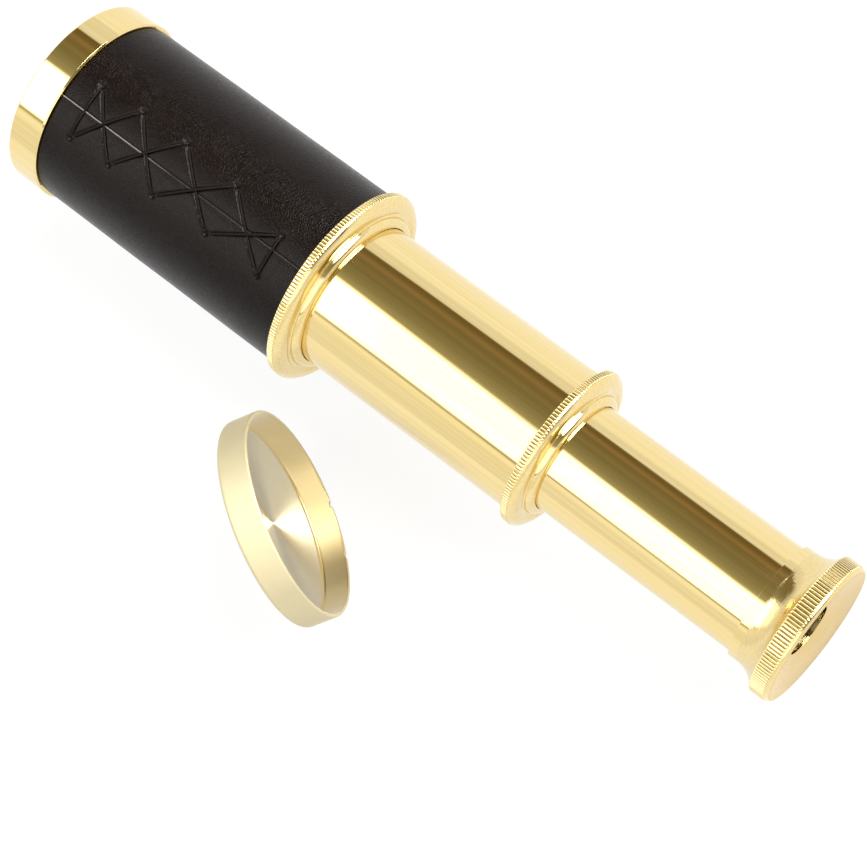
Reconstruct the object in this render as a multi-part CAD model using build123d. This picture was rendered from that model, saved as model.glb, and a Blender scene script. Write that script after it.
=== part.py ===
"""Two-draw brass hand telescope with a laced leather sleeve and a loose slip-on lens cap.

The telescope lies on its side, drawn out to full length.  +X runs along the optical axis from
the eye to the objective, +Z is up, and the origin is on the axis at the objective's front face.
Lengths along the axis are written as stations: millimetres back from that front face, so a
station s is the plane x = -s.  The cap stands on its rim beside the barrel.
"""
from build123d import *
import math
import os

# ---- driving dimensions, mm -------------------------------------------------------------------
INCH = 25.4
DRAW_ONE_R = 1.0 * INCH / 2          # first draw: one-inch tube
DRAW_TWO_R = 0.75 * INCH / 2         # second draw: three-quarter-inch tube
DRAW_WALL = 0.5
BARREL_R = 15.0
BARREL_WALL = 0.8
LEATHER = 1.3                        # thickness of the sleeve
RUNNING = 0.06                       # radial clearance of every sliding pair
FELT = 0.52                          # thickness of the friction linings

BEZEL_R = 16.8
BEZEL_BACK = 6.0
BEZEL_SKIRT_END = 8.6
BEZEL_SKIRT_BORE = 13.2
LENS_R = 14.6
LENS_SEAT = 5.5

BARREL_END = 57.2                    # the barrel tube, the leather and the collar meet here
DRAW_ONE_END = 102.3
DRAW_TWO_END = 143.0
DRAW_ONE_START = 50.0
STOP_LENGTH = 2.0
STOP_GAP = 0.2                       # left between a draw's stop ring and the collar's skirt
BAFFLE_START = 50.6
BAFFLE_LENGTH = 0.8
BAFFLE_HOLE_R = 7.0

COLLAR_HEIGHT = 4.65                 # flange height above the draw that it guides
KNURL_WIDTH = 1.2
COLLAR_DEPTH = 3.3                   # flange front to the lip where the draw comes out
COLLAR_SKIRT = 5.0

EYE_KNURL_R = 12.4
EYE_KNURL_START = 148.6
EYE_KNURL_END = 151.2
EYE_END = 152.0
EYE_HOLE_R = 4.4
EYE_HOLE_STATION = 150.4
EYE_BORE_R = 8.2
EYE_SEAT = 149.0
EYE_STEP = 0.55                      # rise of the eyepiece's neck above the second draw
EYE_NECK = 1.7
FIELD_LENS_FRONT = 139.6
FIELD_LENS_BACK = 141.4
FIELD_LENS_BULGE = 0.5
EYE_LENS_FRONT = 146.7
EYE_LENS_BACK = 148.3
EYE_LENS_BULGE = 0.9
SPACER_BORE_R = 7.5

ERECTOR_END = 127.0
ERECTOR_WALL = 0.6
ERECTOR_FRONT_LENS = 97.4            # front edge of each erector lens
ERECTOR_REAR_LENS = 123.2
ERECTOR_LENS_EDGE = 1.2
ERECTOR_LENS_BULGE = 0.8
DIAPHRAGM_START = 110.5
DIAPHRAGM_HOLE_R = 2.2
DISC_LENGTH = 0.6                    # thickness of the diaphragm
RING_LENGTH = 1.0                    # retaining rings of the small lenses
RING_WALL = 1.2
RING_GAP = 0.3

CAP_BORE_R = 16.95
CAP_WALL = 0.65
CAP_BORE_DEPTH = 5.1
CAP_BASE = 0.7
CAP_STATION = 73.7                   # centre of the cap's mouth, beside the first draw
CAP_SIDE = 33.1
CAP_TURN = 56.2                      # the mouth's direction, degrees from -X towards -Y

SEAM_ANGLE = 1.0                     # degrees round from +Z towards +Y
SEAM_GAP = 0.3
CORD_WIDTH = 0.6
CORD_RISE = 0.4                      # how far the flattened cord stands out of the leather
LACE_STATIONS = (10.8, 19.2, 28.6, 39.9, 51.1)
LACE_NEAR = (19.0, 18.0, 17.0, 16.0, 18.0)      # hole angles on the +Y side of the seam
LACE_FAR = (17.0, 19.0, 19.5, 16.5, 9.0)        # hole angles on the -Y side of the seam

# ---- worked out -------------------------------------------------------------------------------
BARREL_BORE = BARREL_R - BARREL_WALL
LEATHER_R = BARREL_R + LEATHER
DRAW_ONE_BORE = DRAW_ONE_R - DRAW_WALL
DRAW_TWO_BORE = DRAW_TWO_R - DRAW_WALL
DRAW_TWO_START = DRAW_ONE_END - COLLAR_SKIRT - STOP_GAP - STOP_LENGTH
ERECTOR_BORE = DRAW_TWO_BORE - ERECTOR_WALL
ERECTOR_REAR_RING = ERECTOR_REAR_LENS + ERECTOR_LENS_EDGE + RING_GAP
COLLAR_R = DRAW_ONE_R + COLLAR_HEIGHT + RUNNING
CAP_R = CAP_BORE_R + CAP_WALL
TABLE_Z = -COLLAR_R


# ---- helpers ----------------------------------------------------------------------------------
def at(corner):
    """A (station, radius) corner as a point of the XY half-plane."""
    station, radius = corner
    return (-station, radius)


def turned(start, *steps):
    """Solid of revolution about the axis.

    start and each step are (station, radius) corners; a step that is a pair of corners is an
    arc through the first one to the second.
    """
    edges = []
    here = start
    for step in steps + (start,):
        if isinstance(step[0], tuple):
            through, there = step
            edges.append(ThreePointArc(at(here), at(through), at(there)))
        else:
            there = step
            edges.append(Line(at(here), at(there)))
        here = there
    return revolve(make_face(edges), Axis.X, 360)


def ring(front, back, outer, bore):
    """Plain tube or washer between two stations."""
    return turned((front, bore), (front, outer), (back, outer), (back, bore))


def sag(radius, curve):
    """Depth of a spherical surface of radius curve at a height radius from the axis."""
    return curve - math.sqrt(curve ** 2 - radius ** 2)


def biconvex(front, back, radius, bulge):
    """Lens whose rim runs between two stations, each face bulging out by bulge on the axis."""
    curve = (radius ** 2 + bulge ** 2) / (2 * bulge)
    half = radius / 2
    rise = bulge - sag(half, curve)
    return turned(
        (front - bulge, 0),
        ((front - rise, half), (front, radius)),
        (back, radius),
        ((back + rise, half), (back + bulge, 0)),
    )


def rounded_arc(start, end, bow):
    """Middle point of an arc between two corners that bows by bow to the left of the chord."""
    (s0, r0), (s1, r1) = start, end
    length = math.hypot(s1 - s0, r1 - r0)
    return ((s0 + s1) / 2 - bow * (r1 - r0) / length, (r0 + r1) / 2 + bow * (s1 - s0) / length)


def collar(flange, draw_radius, tube_bore):
    """Knurled collar: flange, rounded shoulder, cove and bead, with a skirt inside the tube."""
    bore = draw_radius + RUNNING
    felt_bore = bore + FELT
    top = bore + COLLAR_HEIGHT
    shoulder = (flange + KNURL_WIDTH, top)
    valley = (flange + COLLAR_DEPTH * 0.70, bore + COLLAR_HEIGHT * 0.50)
    cove_end = (flange + COLLAR_DEPTH * 0.66, bore + COLLAR_HEIGHT * 0.32)
    lip = (flange + COLLAR_DEPTH, bore)
    return turned(
        (flange - COLLAR_SKIRT, felt_bore),
        (flange - COLLAR_SKIRT, tube_bore),
        (flange, tube_bore),
        (flange, top),
        shoulder,
        (rounded_arc(shoulder, valley, 0.45), valley),
        (rounded_arc(valley, cove_end, -0.18), cove_end),
        (rounded_arc(cove_end, lip, 0.42), lip),
        (flange + COLLAR_DEPTH - 1.0, bore),
        (flange + COLLAR_DEPTH - 1.0, felt_bore),
    )


def felt(flange, draw_radius):
    """Friction lining held in the collar, around the draw."""
    bore = draw_radius + RUNNING
    return ring(flange - COLLAR_SKIRT, flange + COLLAR_DEPTH - 1.0, bore + FELT, bore)


def sleeve_point(station, degrees):
    """Point on the sleeve seen from above, degrees from the seam towards +Y."""
    return Vector(-station, LEATHER_R * math.sin(math.radians(SEAM_ANGLE + degrees)))


def stitch(start, end):
    """Plan shape of one stitch, a round-ended strip between two holes."""
    run = end - start
    turn = math.degrees(math.atan2(run.Y, run.X))
    middle = (start + end) / 2
    return Pos(middle.X, middle.Y) * Rot(0, 0, turn) * SlotCenterToCenter(run.length, CORD_WIDTH)


# ---- barrel -----------------------------------------------------------------------------------
def objective_bezel():
    """Front ring with the lens pocket and a skirt that screws into the barrel tube."""
    return turned(
        (0, LENS_R),
        (0, BEZEL_R),
        (BEZEL_BACK, BEZEL_R),
        (BEZEL_BACK, BARREL_BORE),
        (BEZEL_SKIRT_END, BARREL_BORE),
        (BEZEL_SKIRT_END, BEZEL_SKIRT_BORE),
        (LENS_SEAT, BEZEL_SKIRT_BORE),
        (LENS_SEAT, LENS_R),
    )


CROWN_RIM = 2.6
CROWN_BULGE = 1.2
CEMENT_RIM = 3.6
CEMENT_BULGE = 0.9


def objective_crown():
    """Front element of the cemented pair, convex on both faces."""
    front_curve = (LENS_R ** 2 + CROWN_BULGE ** 2) / (2 * CROWN_BULGE)
    back_curve = (LENS_R ** 2 + CEMENT_BULGE ** 2) / (2 * CEMENT_BULGE)
    half = LENS_R / 2
    return turned(
        (CROWN_RIM - CROWN_BULGE, 0),
        ((CROWN_RIM - CROWN_BULGE + sag(half, front_curve), half), (CROWN_RIM, LENS_R)),
        (CEMENT_RIM, LENS_R),
        ((CEMENT_RIM + CEMENT_BULGE - sag(half, back_curve), half), (CEMENT_RIM + CEMENT_BULGE, 0)),
    )


def objective_flint():
    """Rear element, hollow in front to take the crown and flat behind."""
    curve = (LENS_R ** 2 + CEMENT_BULGE ** 2) / (2 * CEMENT_BULGE)
    half = LENS_R / 2
    return turned(
        (CEMENT_RIM + CEMENT_BULGE, 0),
        ((CEMENT_RIM + CEMENT_BULGE - sag(half, curve), half), (CEMENT_RIM, LENS_R)),
        (LENS_SEAT, LENS_R),
        (LENS_SEAT, 0),
    )


def objective_retaining_ring():
    """Threaded ring in front of the lens, with two spanner slots."""
    front, back, bore = 0.9, 2.4, 13.4
    blank = ring(front, back, LENS_R, bore)
    slot = Pos(-front, 0, 0) * Box(1.4, 2 * LENS_R + 2, 1.2)
    return blank - slot


def leather_sleeve():
    """Sleeve with the narrow gap of its butt seam along the top."""
    section = Circle(LEATHER_R) - Circle(BARREL_R)
    gap = Pos(0, LEATHER_R) * Rectangle(SEAM_GAP, 4 * LEATHER)
    section -= Rot(0, 0, -SEAM_ANGLE) * gap
    across = Plane(origin=(-BARREL_END, 0, 0), x_dir=(0, 1, 0), z_dir=(1, 0, 0))
    return extrude(across * section, BARREL_END - BEZEL_BACK)


def seam_lacing():
    """Cross stitches between five pairs of holes, closed by a bar at each end."""
    near = [sleeve_point(place, angle) for place, angle in zip(LACE_STATIONS, LACE_NEAR)]
    far = [sleeve_point(place, -angle) for place, angle in zip(LACE_STATIONS, LACE_FAR)]
    plan = stitch(near[0], far[0]) + stitch(near[-1], far[-1])
    for here in range(len(LACE_STATIONS) - 1):
        plan += stitch(near[here], far[here + 1])
        plan += stitch(far[here], near[here + 1])
    skin = ring(BEZEL_BACK, BARREL_END, LEATHER_R + CORD_RISE, LEATHER_R)
    return extrude(plan, 2 * LEATHER_R) & skin


# ---- draws ------------------------------------------------------------------------------------
def stop_ring(start, draw_radius, outer_bore):
    """Guide ring round a draw's inner end, which meets the collar's skirt at full length."""
    return ring(start, start + STOP_LENGTH, outer_bore - RUNNING, draw_radius)


def baffle():
    """Blackened disc that stops stray light in the first draw."""
    return ring(BAFFLE_START, BAFFLE_START + BAFFLE_LENGTH, DRAW_ONE_BORE, BAFFLE_HOLE_R)


# ---- eyepiece ---------------------------------------------------------------------------------
def eyepiece_shell():
    """Flared eyepiece with a knurled rim, a dished face and the eye hole."""
    step_r = DRAW_TWO_R + EYE_STEP
    neck = (DRAW_TWO_END + EYE_NECK, step_r)
    flare = (EYE_KNURL_START - 0.5, EYE_KNURL_R - 0.35)
    rim = (EYE_KNURL_END, EYE_KNURL_R)
    face = (EYE_END, EYE_KNURL_R - 0.9)
    skirt = 5.0
    return turned(
        (DRAW_TWO_END - skirt, EYE_BORE_R),
        (DRAW_TWO_END - skirt, DRAW_TWO_BORE),
        (DRAW_TWO_END, DRAW_TWO_BORE),
        (DRAW_TWO_END, step_r),
        neck,
        (rounded_arc(neck, flare, -0.55), flare),
        (EYE_KNURL_START, EYE_KNURL_R),
        rim,
        (rounded_arc(rim, face, 0.18), face),
        (EYE_HOLE_STATION, EYE_HOLE_R),
        (EYE_SEAT, EYE_HOLE_R),
        (EYE_SEAT, EYE_BORE_R),
    )


def small_ring(start, outer):
    """Retaining ring of one of the small lenses."""
    return ring(start, start + RING_LENGTH, outer, outer - RING_WALL)


def erector_lens(front):
    """One of the two lenses that turn the image upright."""
    return biconvex(front, front + ERECTOR_LENS_EDGE, ERECTOR_BORE, ERECTOR_LENS_BULGE)


def diaphragm():
    """Small stop between the erector lenses."""
    return ring(DIAPHRAGM_START, DIAPHRAGM_START + DISC_LENGTH, ERECTOR_BORE, DIAPHRAGM_HOLE_R)


# ---- lens cap ---------------------------------------------------------------------------------
def lens_cap():
    """Shallow cup that slips over the objective, standing on its rim beside the barrel."""
    depth = CAP_BORE_DEPTH + CAP_BASE
    corner = 0.6
    arc = corner * (1 - math.sqrt(0.5))
    cup = turned(
        (0, CAP_BORE_R),
        (0, CAP_R),
        (depth - corner, CAP_R),
        ((depth - arc, CAP_R - arc), (depth, CAP_R - corner)),
        (depth, 0),
        (CAP_BORE_DEPTH, 0),
        (CAP_BORE_DEPTH, CAP_BORE_R),
    )
    return Pos(-CAP_STATION, CAP_SIDE, TABLE_Z + CAP_R) * Rot(0, 0, 180 + CAP_TURN) * cup


nodes = {
    "objective_bezel": objective_bezel(),
    "objective_crown_lens": objective_crown(),
    "objective_flint_lens": objective_flint(),
    "objective_retaining_ring": objective_retaining_ring(),
    "barrel_tube": ring(BEZEL_BACK, BARREL_END, BARREL_R, BARREL_BORE),
    "leather_sleeve": leather_sleeve(),
    "seam_lacing": seam_lacing(),
    "barrel_collar": collar(BARREL_END, DRAW_ONE_R, BARREL_BORE),
    "barrel_felt": felt(BARREL_END, DRAW_ONE_R),
    "first_draw_tube": ring(DRAW_ONE_START, DRAW_ONE_END, DRAW_ONE_R, DRAW_ONE_BORE),
    "first_draw_stop_ring": stop_ring(DRAW_ONE_START, DRAW_ONE_R, BARREL_BORE),
    "first_draw_baffle": baffle(),
    "draw_collar": collar(DRAW_ONE_END, DRAW_TWO_R, DRAW_ONE_BORE),
    "draw_felt": felt(DRAW_ONE_END, DRAW_TWO_R),
    "second_draw_tube": ring(DRAW_TWO_START, DRAW_TWO_END, DRAW_TWO_R, DRAW_TWO_BORE),
    "second_draw_stop_ring": stop_ring(DRAW_TWO_START, DRAW_TWO_R, DRAW_ONE_BORE),
    "erector_tube": ring(DRAW_TWO_START, ERECTOR_END, DRAW_TWO_BORE, ERECTOR_BORE),
    "erector_front_ring": small_ring(ERECTOR_FRONT_LENS - RING_GAP - RING_LENGTH, ERECTOR_BORE),
    "erector_front_lens": erector_lens(ERECTOR_FRONT_LENS),
    "erector_diaphragm": diaphragm(),
    "erector_rear_lens": erector_lens(ERECTOR_REAR_LENS),
    "erector_rear_ring": small_ring(ERECTOR_REAR_RING, ERECTOR_BORE),
    "field_lens_ring": small_ring(FIELD_LENS_FRONT - RING_GAP - RING_LENGTH, EYE_BORE_R),
    "field_lens": biconvex(FIELD_LENS_FRONT, FIELD_LENS_BACK, EYE_BORE_R, FIELD_LENS_BULGE),
    "eyepiece_spacer": ring(
        FIELD_LENS_BACK + RING_GAP, EYE_LENS_FRONT - RING_GAP, EYE_BORE_R, SPACER_BORE_R
    ),
    "eye_lens": biconvex(EYE_LENS_FRONT, EYE_LENS_BACK, EYE_BORE_R, EYE_LENS_BULGE),
    "eyepiece_shell": eyepiece_shell(),
    "lens_cap": lens_cap(),
}

os.makedirs("parts", exist_ok=True)
for name, shape in nodes.items():
    export_step(shape, f"parts/{name}.step")
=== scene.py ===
"""Brass hand telescope with a laced leather barrel and a loose lens cap.

Every piece stands on the packed solids' frame: +X runs along the optical axis towards the
objective, +Z is up, and lengths are metres.  A "station" is the distance back from the
objective's front face, so a station s is the plane x = -s.  Angles round the axis are measured
from +Z towards +Y.
"""

import math

import bpy
import numpy as np
from bpy.props import FloatProperty, FloatVectorProperty, IntProperty, PointerProperty
from mathutils import Matrix, Vector


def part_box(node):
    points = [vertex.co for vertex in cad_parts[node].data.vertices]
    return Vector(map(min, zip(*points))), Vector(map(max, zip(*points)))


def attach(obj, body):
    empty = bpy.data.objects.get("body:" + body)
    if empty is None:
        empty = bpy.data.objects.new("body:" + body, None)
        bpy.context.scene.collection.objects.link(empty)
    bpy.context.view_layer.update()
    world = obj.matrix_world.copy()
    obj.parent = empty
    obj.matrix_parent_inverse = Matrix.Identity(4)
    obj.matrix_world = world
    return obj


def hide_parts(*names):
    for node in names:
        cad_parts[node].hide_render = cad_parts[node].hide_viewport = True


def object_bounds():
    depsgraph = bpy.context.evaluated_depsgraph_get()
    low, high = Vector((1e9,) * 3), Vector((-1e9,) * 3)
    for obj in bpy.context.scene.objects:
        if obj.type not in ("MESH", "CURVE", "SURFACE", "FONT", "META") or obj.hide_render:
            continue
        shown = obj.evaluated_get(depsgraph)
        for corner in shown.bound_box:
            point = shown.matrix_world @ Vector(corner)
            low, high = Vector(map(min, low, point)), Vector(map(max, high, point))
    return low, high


bl_info = {
    "name": "Brass hand telescope",
    "version": (1, 0, 0),
    "blender": (4, 5, 0),
    "location": "View3D > Sidebar > Telescope",
    "description": "Builds the visible surfaces of a two-draw brass telescope on its solids",
    "category": "Object",
}

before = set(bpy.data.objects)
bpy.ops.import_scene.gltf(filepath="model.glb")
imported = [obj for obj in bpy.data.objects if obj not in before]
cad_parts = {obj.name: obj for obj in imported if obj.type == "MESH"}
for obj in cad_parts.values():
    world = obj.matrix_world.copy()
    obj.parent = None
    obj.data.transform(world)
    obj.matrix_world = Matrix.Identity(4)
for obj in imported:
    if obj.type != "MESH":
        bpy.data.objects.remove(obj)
CAD_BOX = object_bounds()
MM = 0.001
TAU = 2 * math.pi


# ---- sizes read from the frame ----
def span(node):
    """Station of a node's front end, station of its back end, and its outer radius."""
    low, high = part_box(node)
    return -high.x, -low.x, (high.z - low.z) / 2


def radius_of(node):
    """Outer radius of a node that is centred on the optical axis."""
    return span(node)[2]


# ---- properties ----
def length(name, text, default):
    """A length property in metres, with its default given in millimetres."""
    return FloatProperty(
        name=name, description=text, default=default * MM, min=0.0, unit="LENGTH", precision=5
    )


def bearing(name, text, degrees):
    """An angle property, with its default given in degrees."""
    turn = math.radians(degrees)
    return FloatProperty(name=name, description=text, default=turn, subtype="ANGLE")


def tooth_count(name, default):
    """A number of knurl teeth."""
    return IntProperty(name=name, description="Teeth round its edge", default=default, min=12)


def hole_angles(name, side, degrees):
    """Angles of the five holes on one side of the seam, with defaults given in degrees."""
    text = "Angles from the seam to the holes on its " + side + " side"
    turns = [math.radians(a) for a in degrees]
    return FloatVectorProperty(name=name, description=text, default=turns, size=5, subtype="EULER")


def colour(name, text, default):
    """A linear colour property."""
    return FloatVectorProperty(
        name=name, description=text, default=default, subtype="COLOR", size=3, min=0.0, max=1.0
    )


class TubeSizes(bpy.types.PropertyGroup):
    """Walls and roundings of the turned brass."""

    barrel_wall: length("Barrel wall", "Thickness of the barrel tube", 0.8)
    draw_wall: length("Draw wall", "Thickness of both draw tubes", 0.5)
    running_gap: length("Running gap", "Clearance round each draw where it leaves its collar", 0.06)
    edge: length("Edge rounding", "Radius of the broken edges of turned brass", 0.22)
    bezel_edge: length("Bezel edge", "Radius of the bezel's front edge", 0.30)
    bezel_pocket: length("Bezel pocket", "Radius of the pocket that takes the objective", 14.6)
    bezel_skirt_bore: length("Bezel skirt bore", "Clear radius behind the objective", 13.2)
    bezel_depth: length("Bezel depth", "Length of the bezel's polished band", 6.0)
    lens_seat: length("Lens seat", "Station of the shoulder behind the objective", 5.5)


class KnurlSizes(bpy.types.PropertyGroup):
    """Straight knurls of the two collars and the eyepiece."""

    barrel_teeth: tooth_count("Barrel collar teeth", 180)
    draw_teeth: tooth_count("Draw collar teeth", 148)
    eye_teeth: tooth_count("Eyepiece teeth", 125)
    depth: length("Knurl depth", "Depth of each groove", 0.22)
    width: length("Collar knurl width", "Width of a collar's knurled edge", 1.15)
    eye_front: length("Eyepiece knurl front", "Station where the eyepiece's knurl begins", 148.6)
    eye_back: length("Eyepiece knurl back", "Station where the eyepiece's knurl ends", 151.2)


class LeatherSizes(bpy.types.PropertyGroup):
    """The sleeve, its seam and its stitches."""

    thickness: length("Thickness", "Thickness of the leather", 1.3)
    seam_angle: bearing("Seam angle", "Place of the butt seam", 1.0)
    seam_depth: length("Seam depth", "Depth of the seam's dark slit", 0.55)
    seam_width: length("Seam width", "Width of the seam's slit", 0.24)
    cord_width: length("Cord width", "Width of the waxed lacing cord", 0.44)
    groove: length("Stitch groove", "How deep a stitch is pulled into the leather", 0.26)
    stations: FloatVectorProperty(
        name="Hole stations", description="Stations of the pairs of holes, from the objective",
        default=(10.8 * MM, 19.2 * MM, 28.6 * MM, 39.9 * MM, 51.1 * MM), size=5, unit="LENGTH",
    )
    near_angles: hole_angles("Near holes", "+Y", (19.0, 18.0, 17.0, 16.0, 18.0))
    far_angles: hole_angles("Far holes", "-Y", (17.0, 19.0, 19.5, 16.5, 9.0))


class CapSizes(bpy.types.PropertyGroup):
    """The loose cap."""

    wall: length("Wall", "Thickness of the cap's side", 0.65)
    base: length("Base", "Thickness of the cap's base", 0.7)
    turn: bearing("Turn", "Direction of its mouth, from -X towards -Y", 56.2)
    corner: length("Corner", "Rounding between side and base", 0.75)
    nick: length("Nick", "Depth of the small nick in its rim", 0.35)


class Finishes(bpy.types.PropertyGroup):
    """Colours of the finishes."""

    polished: colour("Polished brass", "Lacquered and polished brass", (0.83, 0.68, 0.345))
    satin: colour("Satin brass", "Satin brass of the eyepiece's face", (0.73, 0.53, 0.20))
    flare: colour("Flare brass", "Buffed brass of the eyepiece's flare", (0.81, 0.64, 0.31))
    cap: colour("Cap wall", "Satin brass of the cap's side", (0.60, 0.53, 0.34))
    cap_bore: colour("Cap bore", "Brass of the cap's bore", (0.60, 0.47, 0.235))
    cap_base: colour("Cap base", "Ring-brushed brass of the cap's base", (0.78, 0.70, 0.51))
    turned: colour("Turned brass", "Brass inside the instrument", (0.62, 0.47, 0.22))
    leather: colour("Leather", "Dyed leather", (0.0034, 0.0015, 0.0010))
    cord: colour("Cord", "Waxed lacing cord", (0.004, 0.0025, 0.002))
    raw_edge: colour("Raw edge", "Bare leather inside the seam", (0.16, 0.14, 0.125))


class StageSettings(bpy.types.PropertyGroup):
    """Camera, floor and light."""

    target: FloatVectorProperty(
        name="Target", description="Point that the camera looks at",
        default=(-84.46 * MM, 10.12 * MM, 0.0), subtype="TRANSLATION", size=3,
    )
    distance: length("Distance", "Camera to target", 420.3)
    azimuth: bearing("Azimuth", "Side that the camera stands on, from +X towards +Y", 199.55)
    elevation: bearing("Elevation", "Height of the camera above the table", 70.95)
    image_up: FloatVectorProperty(
        name="Image up", description="Direction that points up in the picture",
        default=(0.57086, -0.81594, 0.09150), subtype="DIRECTION", size=3,
    )
    lens: FloatProperty(
        name="Lens", description="Focal length on a 36 mm sensor", default=111.2, unit="CAMERA"
    )
    floor_glow: FloatProperty(
        name="Floor glow", description="Light of the pale floor itself", default=0.84, min=0.0
    )


# ---- profiles and meshes ----
def rounded(corners, steps=6):
    """Outline through (station, radius, rounding) corners, as an array of (station, radius).

    At each corner the two sides are cut back by rounding * tan(half the turn) and joined by a
    circular arc; a side keeps one extra point next to each arc, so that its shading stays flat.
    """
    places = np.array([c[:2] for c in corners], float)
    outline = []
    for before, (here, turn), after in zip(
        np.roll(places, 1, 0), zip(places, [c[2] for c in corners]), np.roll(places, -1, 0)
    ):
        inward, outward = here - before, after - here
        inward, outward = inward / np.hypot(*inward), outward / np.hypot(*outward)
        bend = math.atan2(inward[0] * outward[1] - inward[1] * outward[0], inward @ outward)
        if turn <= 0 or abs(bend) < 1e-3:
            outline.append(here[None])
            continue
        cut = turn * math.tan(abs(bend) / 2)
        normal = np.array([-inward[1], inward[0]]) * math.copysign(turn, bend)
        centre = here - inward * cut + normal
        sweep = np.linspace(0, bend, steps + 1)[:, None]
        arc = centre - normal * np.cos(sweep) + inward * turn * np.abs(np.sin(sweep))
        margin = 0.15 * turn
        outline.append(np.vstack([arc[:1] - inward * margin, arc, arc[-1:] + outward * margin]))
    return np.vstack(outline)


def bowed(start, end, bow, steps=14):
    """Circular arc between two (station, radius) points; bow is its height to the left."""
    start, end = np.array(start, float), np.array(end, float)
    chord = end - start
    reach = np.hypot(*chord)
    along, aside = chord / reach, np.array([-chord[1], chord[0]]) / reach
    radius = (reach ** 2 / 4 + bow ** 2) / (2 * abs(bow))
    half = math.asin(min(1.0, reach / 2 / radius))
    sweep = np.linspace(-half, half, steps + 1)[:, None]
    lift = (radius * np.cos(sweep) - radius * math.cos(half)) * math.copysign(1, bow)
    return start + along * (reach / 2 + radius * np.sin(sweep)) + aside * lift


def mesh_from(name, points, quads, uv, triangles=None):
    """Blender object from arrays of points, quads and triangles, turned to face outwards.

    The signed volume is the sum of p0 . (p1 x p2) / 6 over the triangles; a negative one means
    that every face looks inwards, and their corners are then taken in reverse.
    """
    faces = [np.asarray(quads, np.int64).reshape(-1, 4)]
    faces += [np.asarray(triangles, np.int64).reshape(-1, 3)] if triangles is not None else []
    volume = 0.0
    for group in faces:
        for second in range(1, group.shape[1] - 1):
            a, b, c = points[group[:, 0]], points[group[:, second]], points[group[:, second + 1]]
            volume += np.einsum("ij,ij->", a, np.cross(b, c))
    if volume < 0:
        faces = [group[:, ::-1] for group in faces]
    corners = np.concatenate([group.ravel() for group in faces])
    counts = np.concatenate([np.full(len(group), group.shape[1]) for group in faces])
    mesh = bpy.data.meshes.new(name)
    mesh.vertices.add(len(points))
    mesh.vertices.foreach_set("co", points.astype(np.float32).ravel())
    mesh.loops.add(len(corners))
    mesh.loops.foreach_set("vertex_index", corners.astype(np.int32))
    mesh.polygons.add(len(counts))
    mesh.polygons.foreach_set("loop_start", (np.cumsum(counts) - counts).astype(np.int32))
    mesh.polygons.foreach_set("use_smooth", np.ones(len(counts), bool))
    layer = mesh.uv_layers.new(name="UVMap")
    layer.data.foreach_set("uv", uv[corners].astype(np.float32).ravel())
    mesh.update(calc_edges=True)
    mesh.validate()
    piece = bpy.data.objects.new(name, mesh)
    bpy.context.scene.collection.objects.link(piece)
    return piece


def off_axis(s, r, a):
    """Points (-s, r sin a, r cos a), one for each station, radius and angle round the axis."""
    return np.stack(np.broadcast_arrays(-s, r * np.sin(a), r * np.cos(a)), -1)


def unit(vectors):
    """Vectors cut or stretched to length 1."""
    return vectors / np.linalg.norm(vectors, axis=1, keepdims=True)


def pairs(first, second):
    """Every pair from two arrays that span a grid, row by row."""
    return np.stack(np.broadcast_arrays(first, second), -1).reshape(-1, 2)


def strip(rows, columns, wrap_rows, wrap_columns):
    """Quads of a grid whose points are numbered row by row."""
    i = np.arange(rows if wrap_rows else rows - 1)[:, None]
    j = np.arange(columns if wrap_columns else columns - 1)[None]
    here, there = i * columns, (i + 1) % rows * columns
    after = (j + 1) % columns
    return np.stack([here + j, here + after, there + after, there + j], -1).reshape(-1, 4)


def end_fans(base, rows, columns):
    """Triangles that close a grid's first and last rows onto the two points that follow it."""
    ring = np.arange(columns)
    beside = (ring + 1) % columns
    pole, last = base + rows * columns, base + (rows - 1) * columns
    first_fan = np.stack([np.full(columns, pole), base + beside, base + ring], -1)
    last_fan = np.stack([np.full(columns, pole + 1), last + ring, last + beside], -1)
    return np.vstack([first_fan, last_fan])


def turned(name, outline, segments=256, closed=True, groove=None):
    """Surface of revolution about the optical axis.

    A point is (-s, r sin a, r cos a) for each (s, r) of the outline and each angle a.  groove is
    an optional function of (s, r, a) that gives a depth to take off the radius.  An open
    outline starts and ends near the axis, and a fan of triangles closes it onto the axis.
    """
    angle = np.arange(segments) / segments * TAU
    s, r = outline[:, :1], outline[:, 1:]
    radius = r + 0 * angle
    if groove is not None:
        radius = radius - groove(s, r, angle[None])
    points = off_axis(s, radius, angle).reshape(-1, 3)
    rows = len(outline)
    run = np.concatenate([[0.0], np.cumsum(np.hypot(*np.diff(outline, axis=0).T))])
    uv = pairs(angle[None] / TAU, run[:, None])
    quads = strip(rows, segments, closed, True)
    if closed:
        return mesh_from(name, points, quads, uv)
    ends = np.array([[-outline[0, 0], 0, 0], [-outline[-1, 0], 0, 0]])
    uv = np.vstack([uv, [[0, 0], [0, run[-1]]]])
    return mesh_from(name, np.vstack([points, ends]), quads, uv, end_fans(0, rows, segments))


def smooth_step(low, high, value):
    """0 below low, 1 above high, and 3t^2 - 2t^3 between."""
    t = np.clip((value - low) / (high - low), 0, 1)
    return t * t * (3 - 2 * t)


def bell(value, width, power=2):
    """1 at zero, falling off on both sides as exp(-(value / width)^power)."""
    return np.exp(-((value / width) ** power))


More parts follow.
